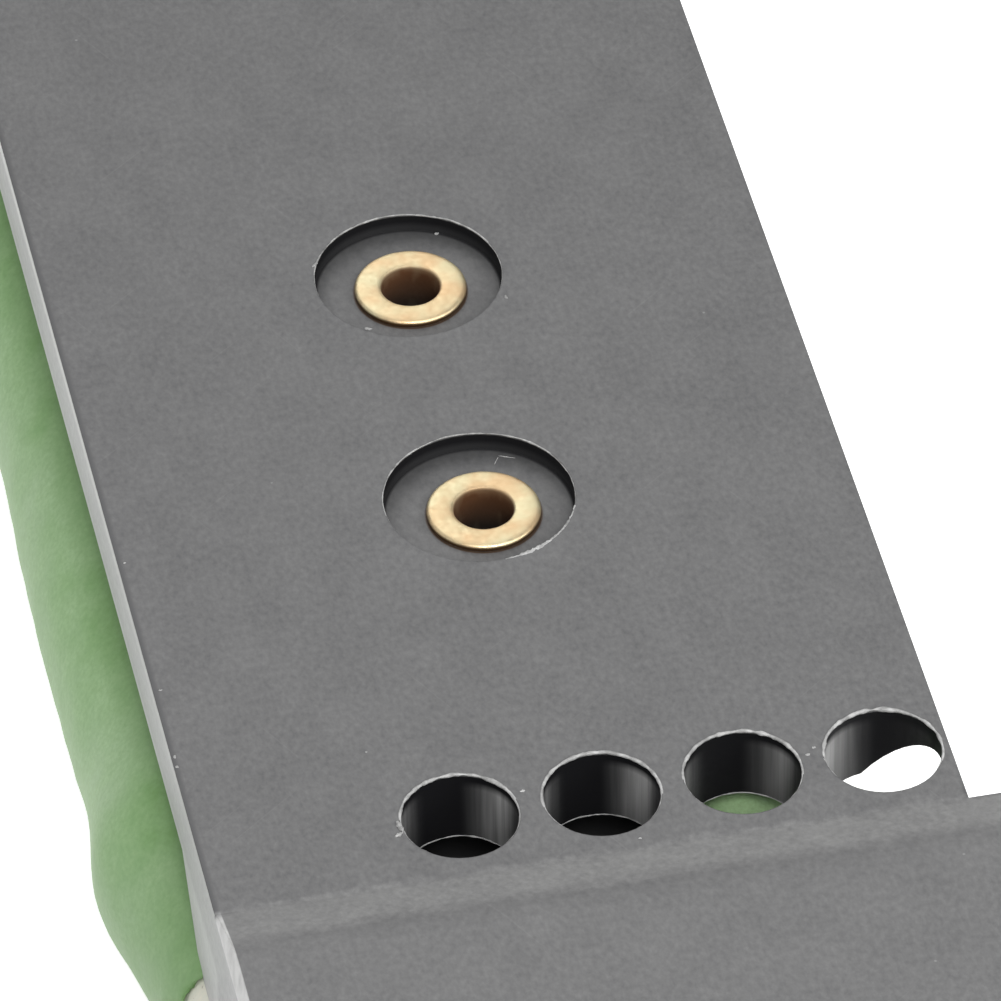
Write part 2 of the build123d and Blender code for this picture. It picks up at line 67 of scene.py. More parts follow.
# Fills a node's sockets, in order or by name, with values, with hex colours or with links from other nodes
def setSockets(tree, node, sockets):
    if not isinstance(sockets, dict):
        sockets = dict(enumerate(sockets))
    for name, value in sockets.items():
        if isinstance(value, bpy.types.Node):
            value = value.outputs[0]
        if isinstance(value, bpy.types.NodeSocket):
            tree.links.new(value, node.inputs[name])
        else:
            node.inputs[name].default_value = linear(value) if isinstance(value, str) else value


# Adds one node: settings are its properties, and sockets its inputs
def addNode(tree, kind, sockets=(), **settings):
    node = tree.nodes.new("ShaderNode" + kind)
    for name, value in settings.items():
        setattr(node, name, value)
    setSockets(tree, node, sockets)
    return node


def startMaterial(name):
    material = bpy.data.materials.new(name)
    material.use_nodes = True
    tree = material.node_tree
    shader = tree.nodes["Principled BSDF"]
    place = addNode(tree, "TexCoord").outputs["Object"]
    return material, tree, shader, place


# Grain that measures so many millimetres along x, y and z, or the same along all three, turned about z in degrees
def grains(tree, place, lengths, detail=2.0, roughness=0.5, turn=0):
    if turn:
        place = addNode(tree, "Mapping", {"Vector": place, "Rotation": (0, 0, math.radians(turn))})
    if not isinstance(lengths, tuple):
        lengths = (lengths, lengths, lengths)
    fine = addNode(tree, "Mapping", {"Vector": place, "Scale": [1 / (length * mm) for length in lengths]})
    return addNode(tree, "TexNoise", {"Vector": fine, "Scale": 1, "Detail": detail, "Roughness": roughness})


# Grain keeps near its middle: over these spans of it a pattern goes from none to full
softSpan = (0.3, 0.7)
crispSpan = (0.35, 0.65)


# What several masks have in common
def inCommon(tree, mask, *others):
    for other in others:
        mask = addNode(tree, "Math", [mask, other], operation="MULTIPLY")
    return mask


# Wherever any of several masks is, at its strongest
def inAny(tree, mask, *others):
    for other in others:
        mask = addNode(tree, "Math", [mask, other], operation="MAXIMUM")
    return mask


# Paints colours over a base one after another, each where its mask is
def paintOver(tree, base, *coats):
    for mask, colour in coats:
        base = addNode(tree, "Mix", {0: mask, 6: base, 7: colour}, data_type="RGBA").outputs[2]
    return base


# Places that the materials and the new pieces share
openings = {
    "stepAt": 20.0,          # the foot of the ramp between head and tongue
    "rampRun": 2.45,
    "top": 7.0,              # the tongue's upper face
    "under": 3.5,            # and its lower one
    "leftFace": -17.9,
    "flangeBack": 0.05,
    "shelf": 1.0,            # the ledge below the tongue that shows through the first two holes
    "holes": 4,
    "holeFirst": -6.88,      # middle of the leftmost air hole
    "holePitch": 6.0,
    "holeRow": 23.53,
    "holeWidth": 5.0,
    "seatWidth": 8.28,
    "seatFloor": 0.89,       # below the tongue's upper face
    "rivetWidth": 4.92,
    "rivetBore": 2.56,
    "rivetOff": ((0.17, -0.14), (0.07, -0.08)),      # how far the eyelets are set off their seats' middles
}
holeSpots = [(openings["holeFirst"] + i * openings["holePitch"], openings["holeRow"])
             for i in range(openings["holes"])]
seatSpots = []
for rivetName in ("lower_rivet", "upper_rivet"):
    low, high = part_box(rivetName)
    seatSpots.append(((low.x + high.x) / 2 / mm, (low.y + high.y) / 2 / mm))
rivetSpots = [(x + right, y + behind) for (x, y), (right, behind) in zip(seatSpots, openings["rivetOff"])]
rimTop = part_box("lower_rivet")[1].z / mm


# How far a point lies outside the nearest of some round openings, in metres, seen from above
def outsideRounds(tree, place, spots, radius):
    flat = addNode(tree, "VectorMath", [place, (1, 1, 0)], operation="MULTIPLY")
    gaps = [addNode(tree, "VectorMath", [flat, (x * mm, y * mm, 0)], operation="DISTANCE").outputs["Value"]
            for x, y in spots]
    nearest = gaps[0]
    for gap in gaps[1:]:
        nearest = addNode(tree, "Math", [nearest, gap], operation="MINIMUM")
    return addNode(tree, "Math", [nearest, radius * mm], operation="SUBTRACT")


# Glass-filled nylon, moulded: spark-eroded faces are an even mid grey, and bores off polished pins are black, painted
# darker as shade, with painted light and shade on several faces
carrierLook = {
    "grey": "#5a5a5b", "pale": "#777777", "grain": (0.26, 0.39, 0.26), "mottle": (2.0, 3.0, 2.0),
    "mottleShare": 0.35, "blotch": (0.4, 0.95),
    "ramp": "#787878", "rampPale": "#949493", "rampShare": 0.9, "headShare": 0.07,
    "wave": 1.1, "waveGrain": 0.9,                     # how the ramp's edges wander
    "speck": "#9b9b9a", "speckCell": 2.6, "speckSize": 0.07, "speckFrom": 0.78, "speckShare": 0.6,
    "scratch": (7, 0.13, 7), "scratchTurns": (62, -38), "scratchFrom": 0.8, "scratchShare": 0.1,
    "side": "#928f93", "sidePale": "#9a989b", "sideHead": "#828084", "sideMarks": (1, 3, 0.4), "sideSmoother": 0.2,
    "edgeLight": "#d2d2d1", "edgeDark": "#575758", "highlightGrain": 0.8,
    "bore": "#18181a", "wallReflection": "#f0f0ef", "reflectionStreaks": (0.3, 0.3, 9), "reflectionSpan": (0.15, 0.8), "reflectionEnd": (1.0, 0.9),
    "boreGloss": 0.1, "shade": "#2c2c2d",
    "corner": "#353536", "cornerShare": 0.75, "cornerShift": 1.1,
    "oxideAndShade": "#4b3a2c", "rimOxideShadeSpan": (0.1, 0.03),
    "roughness": 0.56, "roughnessSwing": 0.06, "bump": 0.012, "edge": 0.09, "softEdge": 0.5,
}

# The carrier's zones. Each is what its limits have in common. A limit fades in between two places along x, y, z or
# another measure, and goes from none to full unless it gives two other amounts.
left, step, top, under, ledge = [openings[name] for name in ("leftFace", "stepAt", "top", "under", "shelf")]
crest, flangeBack = step - openings["rampRun"], openings["flangeBack"]
zoneLimits = {
    "edge": [("x", left - 0.1, left - 0.05), ("y", flangeBack, flangeBack + 0.1)],
    "head": [("y", step + 0.2, step - 0.4)],
    # the drawn left face, painted paler as a painted reflection, and painted highlights along its upper edge, its
    # lower edge and the head's sloping edge
    "side": ["edge", ("x", left + 0.03, left + 0.015)],
    "sideHead": [("y", step + 5, step - 2)],
    "upperLine": ["side", ("z", top - 0.85, top - 0.4), ("z", top - 0.02, top - 0.3),
                  ("y", step - 2, step + 62, 0.05, 1.0)],
    "lowerLine": ["side", ("z", under + 0.5, under, 0.0, 0.4), ("y", step - 0.4, step + 0.2)],
    "slope": ["edge", "head", ("z", top - 0.28, top - 0.2), ("x", left + 0.28, left + 0.24)],
    # painted shade: a dark line just inside the tongue's upper left edge
    "rim": ["edge", ("x", left + 0.3, left + 0.1), ("z", top - 0.03, top - 0.01)],
    # the ramp, painted paler: painted light
    "ramp": [("wavyY", crest - 0.5, crest + 0.4), ("wavyY", step + 0.3, step - 0.3)],
    # where the ramp meets the flats, its edges are softer
    "crease": [("y", crest - 1.0, crest - 0.5), ("y", step + 1.0, step + 0.5), ("x", left + 0.6, left + 1.2),
               ("z", top - 0.1, top - 0.05)],
    "shelf": [("z", ledge + 0.3, ledge + 0.1), ("z", ledge - 0.3, ledge - 0.1), ("y", step + 2, step + 3),
              ("y", step + 16, step + 15), ("x", left + 2, left + 3)],
    "below": [("z", top - 0.04, top - 0.12)],
    "deep": [("z", top - 0.35, top - 0.75)],
    "inHole": [("fromHole", 0.05, 0.02)],
    "seatWall": [("offSeatWall", 0.18, 0.06)],
    "inSeat": [("fromSeat", 0.01, -0.01)],
    # painted shadow: each seat's floor darkens against its back wall, outside a copy of the seat moved towards the
    # front
    "corner": [("fromLitPart", -0.7, 1.0), ("fromSeat", 0.05, 0.0), ("z", top - 0.4, top - 0.7)],
    # painted reflections on the hole walls: both sides of the first two holes, the third least, and the fourth on its
    # left only
    "reflectionRight": [("x", 2.0, 6.0, 0.7, 0.56), ("x", 9.0, 12.0, 1.0, 0.3)],
    "reflectionLeft": [("x", 8.0, 8.5, 0.52, 0.8)],
    "reflectionFrom": [("x", 8.0, 8.5, -0.4, 0.15)],
}


def carrierZones(tree, place):
    look = carrierLook
    parts = addNode(tree, "SeparateXYZ", [place])
    x, y, z = [parts.outputs[axis] for axis in "XYZ"]
    wave = addNode(tree, "Math", [grains(tree, place, look["waveGrain"], 4.0, 0.65), 0.5], operation="SUBTRACT")
    fromSeat = outsideRounds(tree, place, seatSpots, openings["seatWidth"] / 2)
    litParts = [(x, y - look["cornerShift"]) for x, y in seatSpots]
    measures = {
        "x": x, "y": y, "z": z,
        "wavyY": addNode(tree, "Math", [wave, look["wave"] * mm, y], operation="MULTIPLY_ADD"),
        "fromHole": outsideRounds(tree, place, holeSpots, openings["holeWidth"] / 2),
        "fromSeat": fromSeat,
        "offSeatWall": addNode(tree, "Math", [fromSeat], operation="ABSOLUTE"),
        "fromLitPart": outsideRounds(tree, place, litParts, openings["seatWidth"] / 2),
    }
    zones = {}
    for name, limits in zoneLimits.items():
        masks = []
        for limit in limits:
            if limit in zones:
                masks.append(zones[limit])
            else:
                measure, start, end, *amounts = limit
                masks.append(addNode(tree, "MapRange", [measures[measure], start * mm, end * mm, *amounts]))
        zones[name] = inCommon(tree, *masks)
    zones["line"] = inAny(tree, zones["upperLine"], zones["lowerLine"], zones["slope"])
    zones["wall"] = inCommon(tree, zones["below"], inAny(tree, zones["inHole"], zones["seatWall"]))
    # from -1 at the left of each air hole to 1 at its right
    half = openings["holePitch"] / 2 * mm
    fromFirst = addNode(tree, "Math", [x, openings["holeFirst"] * mm], operation="SUBTRACT")
    fromMiddle = addNode(tree, "Math", [fromFirst, half, -half], operation="WRAP")
    zones["across"] = addNode(tree, "Math", [fromMiddle, openings["holeWidth"] / 2 * mm], operation="DIVIDE")
    return zones


def carrierMaterial():
    look = carrierLook
    material, tree, shader, place = startMaterial("mouldedNylon")
    zones = carrierZones(tree, place)
    grain = grains(tree, place, look["grain"], 3.0, 0.6)
    mottle = grains(tree, place, look["mottle"], 3.0)
    blotch = addNode(tree, "Math", [mottle, look["mottleShare"], grain], operation="MULTIPLY_ADD")
    blotch = addNode(tree, "MapRange", [blotch, *look["blotch"]])
    # painted light: the ramp, which faces the light behind, and faintly the head are painted paler than the tongue
    rampColour = paintOver(tree, look["ramp"], (blotch, look["rampPale"]))
    colour = paintOver(tree, look["grey"], (blotch, look["pale"]),
                       (inCommon(tree, zones["head"], look["headShare"]), look["rampPale"]),
                       (inCommon(tree, zones["ramp"], look["rampShare"]), rampColour))

    # pale specks of filler and dust, in about one cell in five
    cells = addNode(tree, "TexVoronoi", {"Vector": place, "Scale": 1 / (look["speckCell"] * mm)})
    size = look["speckSize"] / look["speckCell"]
    dot = addNode(tree, "MapRange", [cells.outputs["Distance"], size * 1.2, size * 0.6])
    lot = addNode(tree, "SeparateColor", [cells.outputs["Color"]]).outputs["Red"]
    chosen = addNode(tree, "MapRange", [lot, look["speckFrom"], look["speckFrom"] + 0.02, 0, look["speckShare"]])
    colour = paintOver(tree, colour, (inCommon(tree, dot, chosen), look["speck"]))

    # a few handling scratches, long, hair-thin and faint
    for turn in look["scratchTurns"]:
        lines = grains(tree, place, look["scratch"], 0.0, turn=turn)
        hair = addNode(tree, "MapRange", [lines, look["scratchFrom"], look["scratchFrom"] + 0.06, 0,
                                          look["scratchShare"]])
        colour = paintOver(tree, colour, (hair, look["speck"]))

    # the drawn side, painted paler as a painted reflection, with its lengthwise marks, a painted shade line along its
    # upper edge and painted highlights along its edges, broken up by grain
    drawn = addNode(tree, "MapRange", [grains(tree, place, look["sideMarks"], 4.0, 0.65), *softSpan])
    sideColour = paintOver(tree, look["side"], (drawn, look["sidePale"]), (zones["sideHead"], look["sideHead"]))
    highlightBreak = addNode(tree, "MapRange", [grains(tree, place, look["highlightGrain"], 3.0), 0.3, 0.6, 0.7, 1.0])
    colour = paintOver(tree, colour, (zones["side"], sideColour), (zones["rim"], look["edgeDark"]),
                       (inCommon(tree, zones["line"], highlightBreak), look["edgeLight"]))

    # inside the air holes and round the walls of the seats the moulding is black, painted darker as shade, and the
    # greyer streaks towards each hole's sides are painted reflections
    streak = addNode(tree, "MapRange", [grains(tree, place, look["reflectionStreaks"], 3.0), *softSpan, 0.5, 1.0])
    toRight = addNode(tree, "MapRange", [zones["across"], *look["reflectionSpan"]])
    rightEnd = addNode(tree, "MapRange", [zones["across"], *look["reflectionEnd"], 0.3, 1.0])
    toLeft = addNode(tree, "MapRange", [zones["across"], zones["reflectionFrom"], -look["reflectionEnd"][1]])
    right = inCommon(tree, toRight, rightEnd, zones["reflectionRight"])
    left = inCommon(tree, toLeft, zones["reflectionLeft"])
    wallReflection = inAny(tree, inCommon(tree, right, right), inCommon(tree, left, left))
    wallReflection = inCommon(tree, wallReflection, streak, zones["deep"], zones["inHole"])
    wallColour = paintOver(tree, look["bore"], (wallReflection, look["wallReflection"]))

    # painted shadow darkens each seat's floor in the corner against its wall, and a thin ring round the rivet is brass
    # oxide with painted contact shadow
    fromRim = outsideRounds(tree, place, rivetSpots, openings["rivetWidth"] / 2)
    fromRim = addNode(tree, "Math", [fromRim], operation="ABSOLUTE")
    rimOxideShade = addNode(tree, "MapRange", [fromRim, *[length * mm for length in look["rimOxideShadeSpan"]]])
    colour = paintOver(tree, colour, (zones["wall"], wallColour), (zones["shelf"], look["shade"]),
                       (inCommon(tree, zones["corner"], look["cornerShare"]), look["corner"]),
                       (rimOxideShade, look["oxideAndShade"]))

    swing = look["roughnessSwing"]
    rough = addNode(tree, "MapRange", [grain, *softSpan, look["roughness"] - swing, look["roughness"] + swing])
    rough = addNode(tree, "Math", [zones["side"], -look["sideSmoother"], rough], operation="MULTIPLY_ADD")
    softness = addNode(tree, "MapRange", [zones["crease"], 0, 1, look["edge"] * mm, look["softEdge"] * mm])
    rounded = addNode(tree, "Bevel", {"Radius": softness}, samples=8)
    plain = addNode(tree, "NewGeometry").outputs["Normal"]
    normal = addNode(tree, "Mix", {0: zones["inSeat"], 4: rounded, 5: plain}, data_type="VECTOR").outputs[1]
    bump = addNode(tree, "Bump", {"Strength": 0.5, "Distance": look["bump"] * mm, "Height": grain, "Normal": normal})
    gloss = addNode(tree, "MapRange", [zones["wall"], 0, 1, 0.5, look["boreGloss"]])
    setSockets(tree, shader, {"Base Color": colour, "Roughness": rough, "Specular IOR Level": gloss, "Normal": bump,
                              "IOR": 1.53})
    return material


# Silicone cement, dipped by hand and baked: a satin skin, deeper green where it is thick, with painted shade beside
# the carrier's left face and a painted light patch under the third air hole
cementLook = {
    "deep": "#79a264", "mid": "#8eaf7e", "pale": "#a3c193", "shadeAndPitGreen": "#578041", "litPatchGreen": "#b2d39f",
    "patch": 4.5, "cloud": 1.5, "cloudShare": 0.6, "grain": 0.25, "grainShare": 0.35,
    "thickFrom": 26, "thickTo": 38, "thickShare": 0.4,           # how far along the coat its thick part reaches
    "shadeFrom": -0.9, "shadeTo": 0.1, "shadeShare": 0.45,     # from the carrier's left face
    "holePatch": 3.0, "holePatchFade": 1.5, "holePatchShare": 0.9,   # painted light: a paler patch under the third air hole
    "roughness": 0.55, "bump": 0.012, "sheen": 0.22, "sheenRoughness": 0.35, "sheenTint": "#dfe8d4",
}


def cementMaterial():
    look, left = cementLook, openings["leftFace"]
    material, tree, shader, place = startMaterial("siliconeCement")
    patch = addNode(tree, "MapRange", [grains(tree, place, look["patch"]), *crispSpan])
    cloud = addNode(tree, "MapRange", [grains(tree, place, look["cloud"], 3.0, 0.6), *softSpan])
    parts = addNode(tree, "SeparateXYZ", [place])
    across, along = parts.outputs["X"], parts.outputs["Y"]
    thick = addNode(tree, "MapRange", [along, look["thickTo"] * mm, look["thickFrom"] * mm, 0, look["thickShare"]])
    # painted shade: the coat is painted deeper green beside the carrier's left face, where the tongue shades it
    shadeAndPitGreen = addNode(tree, "MapRange", [across, (left + look["shadeFrom"]) * mm, (left + look["shadeTo"]) * mm,
                                           0, look["shadeShare"]])
    # neither goes on under the tongue
    outside = addNode(tree, "MapRange", [across, (left + 0.9) * mm, (left + 0.3) * mm])
    shadeAndPitGreen = inCommon(tree, inAny(tree, shadeAndPitGreen, thick), outside)
    # painted light: a paler patch where light reaches the coat through the third air hole
    near = outsideRounds(tree, place, holeSpots[2:3], look["holePatch"])
    near = addNode(tree, "MapRange", [near, look["holePatchFade"] * mm, 0, 0, look["holePatchShare"]])
    grain = grains(tree, place, look["grain"], 3.0, 0.65)
    pits = addNode(tree, "MapRange", [grain, *softSpan, look["grainShare"], 0])
    colour = paintOver(tree, look["deep"], (patch, look["mid"]),
                       (inCommon(tree, cloud, look["cloudShare"]), look["pale"]), (shadeAndPitGreen, look["shadeAndPitGreen"]),
                       (near, look["litPatchGreen"]), (pits, look["shadeAndPitGreen"]))
    rough = addNode(tree, "MapRange", [cloud, 0, 1, look["roughness"] - 0.08, look["roughness"] + 0.06])
    bump = addNode(tree, "Bump", {"Strength": 0.5, "Distance": look["bump"] * mm, "Height": grain})
    setSockets(tree, shader, {"Base Color": colour, "Roughness": rough, "Normal": bump, "IOR": 1.5,
                              "Sheen Weight": look["sheen"], "Sheen Roughness": look["sheenRoughness"],
                              "Sheen Tint": look["sheenTint"]})
    return material


# Steatite tube, fired unglazed: cream and dry, with fine dark pits
steatiteLook = {"cream": "#d8d9cc", "warm": "#e2dfcf", "pit": "#b0ad9f", "grain": 0.5, "pitSpan": (0.7, 0.76),
                "roughness": 0.75, "bump": 0.03}


def steatiteMaterial():
    look = steatiteLook
    material, tree, shader, place = startMaterial("steatiteCeramic")
    grain = grains(tree, place, look["grain"], 4.0, 0.6)
    warm = addNode(tree, "MapRange", [grain, *crispSpan])
    pits = addNode(tree, "MapRange", [grains(tree, place, look["grain"] / 2, 1.0), *look["pitSpan"]])
    colour = paintOver(tree, look["cream"], (warm, look["warm"]), (pits, look["pit"]))
    bump = addNode(tree, "Bump", {"Strength": 0.6, "Distance": look["bump"] * mm, "Height": grain})
    setSockets(tree, shader, {"Base Color": colour, "Roughness": look["roughness"], "Normal": bump, "IOR": 1.55})
    return material


# Drawn brass eyelet: pale where the setting tool flattened its rim, brown with oxide in the bore, with painted shade
# darkening it deeper in, and round its skirt brown with oxide and painted contact shade
brassLook = {
    "bright": "#f3e7bf", "warm": "#f0d2a6", "toneSize": 1.6, "oxideAndShade": "#603c1f", "deepShade": "#2a2018",
    "mouth": (0.1, 0.0),             # where the bore's oxide begins, outside the bore
    "skirt": (0.11, 0.19),           # and that of the rim's underside, below its top
    "skirtShare": 0.9, "deepShadeSpan": (0.2, 2.2),
    "grain": 0.25, "roughness": 0.5, "boreRougher": 0.3, "boreMetal": 0.3, "bump": 0.01,
}


def brassMaterial():
    look = brassLook
    material, tree, shader, place = startMaterial("drawnBrass")
    tone = addNode(tree, "MapRange", [grains(tree, place, look["toneSize"]), *crispSpan])
    fromBore = outsideRounds(tree, place, rivetSpots, openings["rivetBore"] / 2)
    inside = addNode(tree, "MapRange", [fromBore, *[length * mm for length in look["mouth"]]])
    height = addNode(tree, "SeparateXYZ", [place]).outputs["Z"]
    # painted shade: the rim's underside and the bore deeper in are painted dark over the oxide
    skirt, deep = [addNode(tree, "MapRange", [height, (rimTop - start) * mm, (rimTop - end) * mm, 0, share])
                   for (start, end), share in ((look["skirt"], look["skirtShare"]), (look["deepShadeSpan"], 1))]
    oxideAndShade = paintOver(tree, look["oxideAndShade"], (deep, look["deepShade"]))
    colour = paintOver(tree, look["bright"], (tone, look["warm"]), (inAny(tree, inside, skirt), oxideAndShade))
    grain = grains(tree, place, look["grain"])
    rough = addNode(tree, "MapRange", [grain, *softSpan, look["roughness"] - 0.05, look["roughness"] + 0.08])
    rough = addNode(tree, "Math", [inside, look["boreRougher"], rough], operation="MULTIPLY_ADD")
    bump = addNode(tree, "Bump", {"Strength": 0.4, "Distance": look["bump"] * mm, "Height": grain})
    metallic = addNode(tree, "MapRange", [inside, 0, 1, 1, look["boreMetal"]])
    setSockets(tree, shader, {"Base Color": colour, "Roughness": rough, "Normal": bump, "Metallic": metallic})
    return material


# Metals whose rolling or drawing lines run along one way, with a dull patchy skin
metalLooks = {
    "tinnedSteel": {"light": "#c3c2bd", "dark": "#96948f", "roughness": 0.36, "lines": (0.08, 6, 0.08)},
    "tinnedBrass": {"light": "#cfcabb", "dark": "#a8a08c", "roughness": 0.3, "lines": (0.08, 6, 0.08)},
    "resistanceRibbon": {"light": "#8b8782", "dark": "#625e5a", "roughness": 0.45, "lines": (2, 0.1, 2)},
    "platedFuseCan": {"light": "#cfc6ae", "dark": "#a39a84", "roughness": 0.28, "lines": (4, 0.08, 0.08)},
    "tinnedCopperWire": {"light": "#cbcac5", "dark": "#a09e98", "roughness": 0.34, "lines": (2, 2, 2)},
}
metalSkin = {"patch": 1.8, "lineShare": 0.5, "toneSpan": (0.55, 0.95), "bump": 0.01}


def metalMaterial(name):
    look, skin = metalLooks[name], metalSkin
    material, tree, shader, place = startMaterial(name)
    lines = grains(tree, place, look["lines"])
    patch = grains(tree, place, skin["patch"], 3.0)
    tone = addNode(tree, "Math", [lines, skin["lineShare"], patch], operation="MULTIPLY_ADD")
    tone = addNode(tree, "MapRange", [tone, *skin["toneSpan"]])
    colour = paintOver(tree, look["light"], (tone, look["dark"]))
    rough = addNode(tree, "MapRange", [patch, *softSpan, look["roughness"] - 0.06, look["roughness"] + 0.1])
    bump = addNode(tree, "Bump", {"Strength": 0.3, "Distance": skin["bump"] * mm, "Height": lines})
    setSockets(tree, shader, {"Base Color": colour, "Roughness": rough, "Normal": bump, "Metallic": 1})
    return material


# Potting epoxy on the fuse's open end: glossy, dark red-brown, with small swirls
epoxyLook = {"dark": "#5a2413", "light": "#7a3a22", "swirl": 0.9, "roughness": 0.3, "bump": 0.03}


def epoxyMaterial():
    look = epoxyLook
    material, tree, shader, place = startMaterial("pottingEpoxy")
    swirl = addNode(tree, "MapRange", [grains(tree, place, look["swirl"], 3.0), *crispSpan])
    colour = paintOver(tree, look["dark"], (swirl, look["light"]))
    bump = addNode(tree, "Bump", {"Strength": 0.4, "Distance": look["bump"] * mm, "Height": swirl})
    setSockets(tree, shader, {"Base Color": colour, "Roughness": look["roughness"], "Normal": bump})
    return material


nylon = carrierMaterial()
cement = cementMaterial()
steatite = steatiteMaterial()
brass = brassMaterial()
metals = {name: metalMaterial(name) for name in metalLooks}
epoxy = epoxyMaterial()
print("materials made")

dressings = [
    (nylon, ["carrier"]),
    (steatite, ["main_core", "second_core"]),
    (cement, ["main_coating", "second_coating"]),
    (brass, ["lower_rivet", "upper_rivet"]),
    (metals["resistanceRibbon"], ["main_winding", "second_winding"]),
    (metals["tinnedSteel"], ["main_head_lug", "main_tap_lug", "main_tip_lug",
                             "second_head_lug", "second_tap_lug", "second_tip_lug"]),
    (metals["tinnedBrass"], ["blade_one", "blade_two", "blade_three", "blade_four",
                             "lower_strip", "upper_strip", "main_link", "second_link"]),
    (metals["platedFuseCan"], ["fuse_can"]),
    (metals["tinnedCopperWire"], ["inner_lead", "outer_lead"]),
    (epoxy, ["fuse_seal"]),
]
for material, nodeNames in dressings:
    for nodeName in nodeNames:
        nodes[nodeName].data.materials.clear()
        nodes[nodeName].data.materials.append(material)
print("frame nodes dressed")


def clearSelection():
    if bpy.context.object and bpy.context.object.mode != "OBJECT":
        bpy.ops.object.mode_set(mode="OBJECT")
    bpy.ops.object.select_all(action="DESELECT")


# Adds a modifier with its settings to the active piece and applies it
def applyModifier(kind, **settings):
    piece = bpy.context.object
    bpy.ops.object.modifier_add(type=kind)
    modifier = piece.modifiers[-1]
    for name, value in settings.items():
        setattr(modifier, name, value)
    bpy.ops.object.modifier_apply(modifier=modifier.name)


# Moves the active piece's skin in and out by lumps of one size, both in millimetres
def roughen(name, size, strength, **settings):
    texture = bpy.data.textures.new(name, "CLOUDS")
    texture.noise_scale = size * mm
    texture.noise_depth = 2
    settings = {"mid_level": 0.5, **settings}
    applyModifier("DISPLACE", texture=texture, texture_coords="GLOBAL", strength=strength * mm, **settings)


# Turns a closed outline of (radius, along) points in millimetres about an axis through middle
def turnedPiece(name, outline, middle, axis, steps):
    clearSelection()
    across = Vector((0, 0, 1)) if axis.y else Vector((1, 0, 0))
    spots = [middle + across * radius * mm + axis * along * mm for radius, along in outline]
    bpy.ops.mesh.primitive_plane_add(size=mm, location=spots[0])
    piece = bpy.context.object
    piece.name = name
    bpy.ops.object.mode_set(mode="EDIT")
    bpy.ops.mesh.select_mode(type="VERT")
    bpy.ops.mesh.merge(type="CENTER")
    for before, after in zip(spots, spots[1:]):
        bpy.ops.mesh.extrude_vertices_move(TRANSFORM_OT_translate={"value": after - before})
    mesh = bmesh.from_edit_mesh(piece.data)
    for vertex in mesh.verts:
        vertex.select = len(vertex.link_edges) < 2
    mesh.select_flush(True)
    bmesh.update_edit_mesh(piece.data)
    bpy.ops.mesh.edge_face_add()
    bpy.ops.mesh.select_all(action="SELECT")
    bpy.ops.mesh.spin(steps=steps, angle=math.tau, center=middle, axis=axis)
    bpy.ops.mesh.select_all(action="SELECT")
    bpy.ops.mesh.remove_doubles(threshold=0.0005 * mm)
    bpy.ops.mesh.normals_make_consistent(inside=False)
    bpy.ops.object.mode_set(mode="OBJECT")
    bpy.ops.object.transform_apply(location=True, rotation=True, scale=True)
    return piece


# Gives a finished piece its look and its place in the frame
def handOver(piece, material, slot, *replaced):
    piece.data.materials.clear()
    piece.data.materials.append(material)
    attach(piece, "root")
    if replaced:
        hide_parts(*replaced)


# Cement coats, shaped on the outline of the solid that each replaces
coats = {
    "mainCement": {"node": "main_coating", "core": 4.8, "rings": 32, "lump": 3.6, "swell": 0.14, "ragged": 0.75,
                   "ahead": 1.75, "thinner": 0.16},    # its near end laps over the core, ahead of the solid's end
    "secondCement": {"node": "second_coating", "core": 3.05, "rings": 24, "lump": 2.8, "swell": 0.2, "ragged": 0.5,
                     "ahead": 0.0, "thinner": 0.0},
}
coatEnds = {"lip": 0.25, "lipRun": 1, "reach": 1.6, "raggedGrain": 0.6}      # the skin turns in over the core
coatSteps = 48


# The radius of a node's solid at one place along its axis, in millimetres, found from above
def radiusAt(nodeName, along, middle):
    start = Vector((middle.x, along, middle.z + 20 * mm))
    spot = nodes[nodeName].ray_cast(start, Vector((0, 0, -1)))[1]
    return (spot.z - middle.z) / mm


def makeCoat(name, coat):
    low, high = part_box(coat["node"])
    start = low.y - coat["ahead"] * mm
    middle = Vector(((low.x + high.x) / 2, start, (low.z + high.z) / 2))
    length = (high.y - start) / mm
    skin = []
    for i in range(coat["rings"]):
        share = i / (coat["rings"] - 1)
        along = (0.5 - 0.5 * math.cos(math.pi * share) + share) / 2 * length       # closer together at the ends
        inside = min(max(along, coat["ahead"] + 0.05), length - 0.05)
        thinner = coat["thinner"] * (inside - along) / coat["ahead"] if inside > along and coat["ahead"] else 0.0
        skin.append((radiusAt(coat["node"], start + inside * mm, middle) - thinner, along))
    core, lip, lipRun = coat["core"], coatEnds["lip"], coatEnds["lipRun"]
    outline = [(core, 0)] + skin + [(core, length), (core - lip, length - lipRun), (core - lip, lipRun)]
    piece = turnedPiece(name, outline, middle, Vector((0, 1, 0)), coatSteps)
    applyModifier("SUBSURF", levels=2, render_levels=2)
    ends = piece.vertex_groups.new(name="ends")
    reach = coatEnds["reach"] * mm
    for vertex in piece.data.vertices:
        gap = min(vertex.co.y - start, high.y - vertex.co.y)
        if gap < reach:
            ends.add([vertex.index], 1 - gap / reach, "REPLACE")
    roughen(name + "Lumps", coat["lump"], coat["swell"])
    roughen(name + "Ripples", coat["lump"] / 3, coat["swell"] / 3)
    roughen(name + "Ragged", coatEnds["raggedGrain"], coat["ragged"], direction="Y", vertex_group="ends")
    bpy.ops.object.shade_smooth()
    handOver(piece, cement, "green_cement", coat["node"])


for coatName, coat in coats.items():
    makeCoat(coatName, coat)
print("cement coats made")

# Tubular rivets: the flattened rim that the setting tool leaves above, and the rolled one below
rivetShape = {"bore": openings["rivetBore"], "shank": 3.5, "head": openings["rivetWidth"], "foot": 5.0, "rim": 0.38,
              "steps": 64, "ding": 0.025, "dingSize": 0.7}


